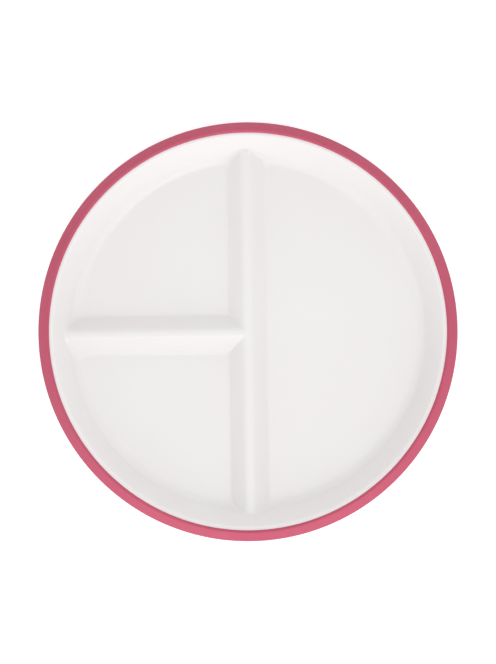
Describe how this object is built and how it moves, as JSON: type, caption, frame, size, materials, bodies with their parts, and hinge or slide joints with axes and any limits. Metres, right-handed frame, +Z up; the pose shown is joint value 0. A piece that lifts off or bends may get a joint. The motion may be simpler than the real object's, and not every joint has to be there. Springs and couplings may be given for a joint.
{
  "type": "divided compartment plate",
  "caption": "Round divided plate with sloped walls, T-shaped dividers, a lift-off coloured rim ring and a soft non-slip foot ring.",
  "frame": {"origin": "on the table, under the middle of the plate", "axes": "+Z up; +Y to the back; the cross divider lies on the -X side"},
  "size_m": [0.216, 0.216, 0.0255],
  "materials": {
    "plate_white": "moulded satin gloss",
    "ring_pink": "soft satin",
    "foot_soft": "fine matt grain"
  },
  "bodies": {
    "plate": {"compartment_plate": "plate_white", "foot_ring": "foot_soft"},
    "ring": {"rim_ring": "ring_pink"}
  },
  "joints": [
    {"name": "ring_lift", "type": "slide", "parent": "plate", "child": "ring", "axis": [0, 0, 1], "range_m": [0, 0.04]}
  ]
}
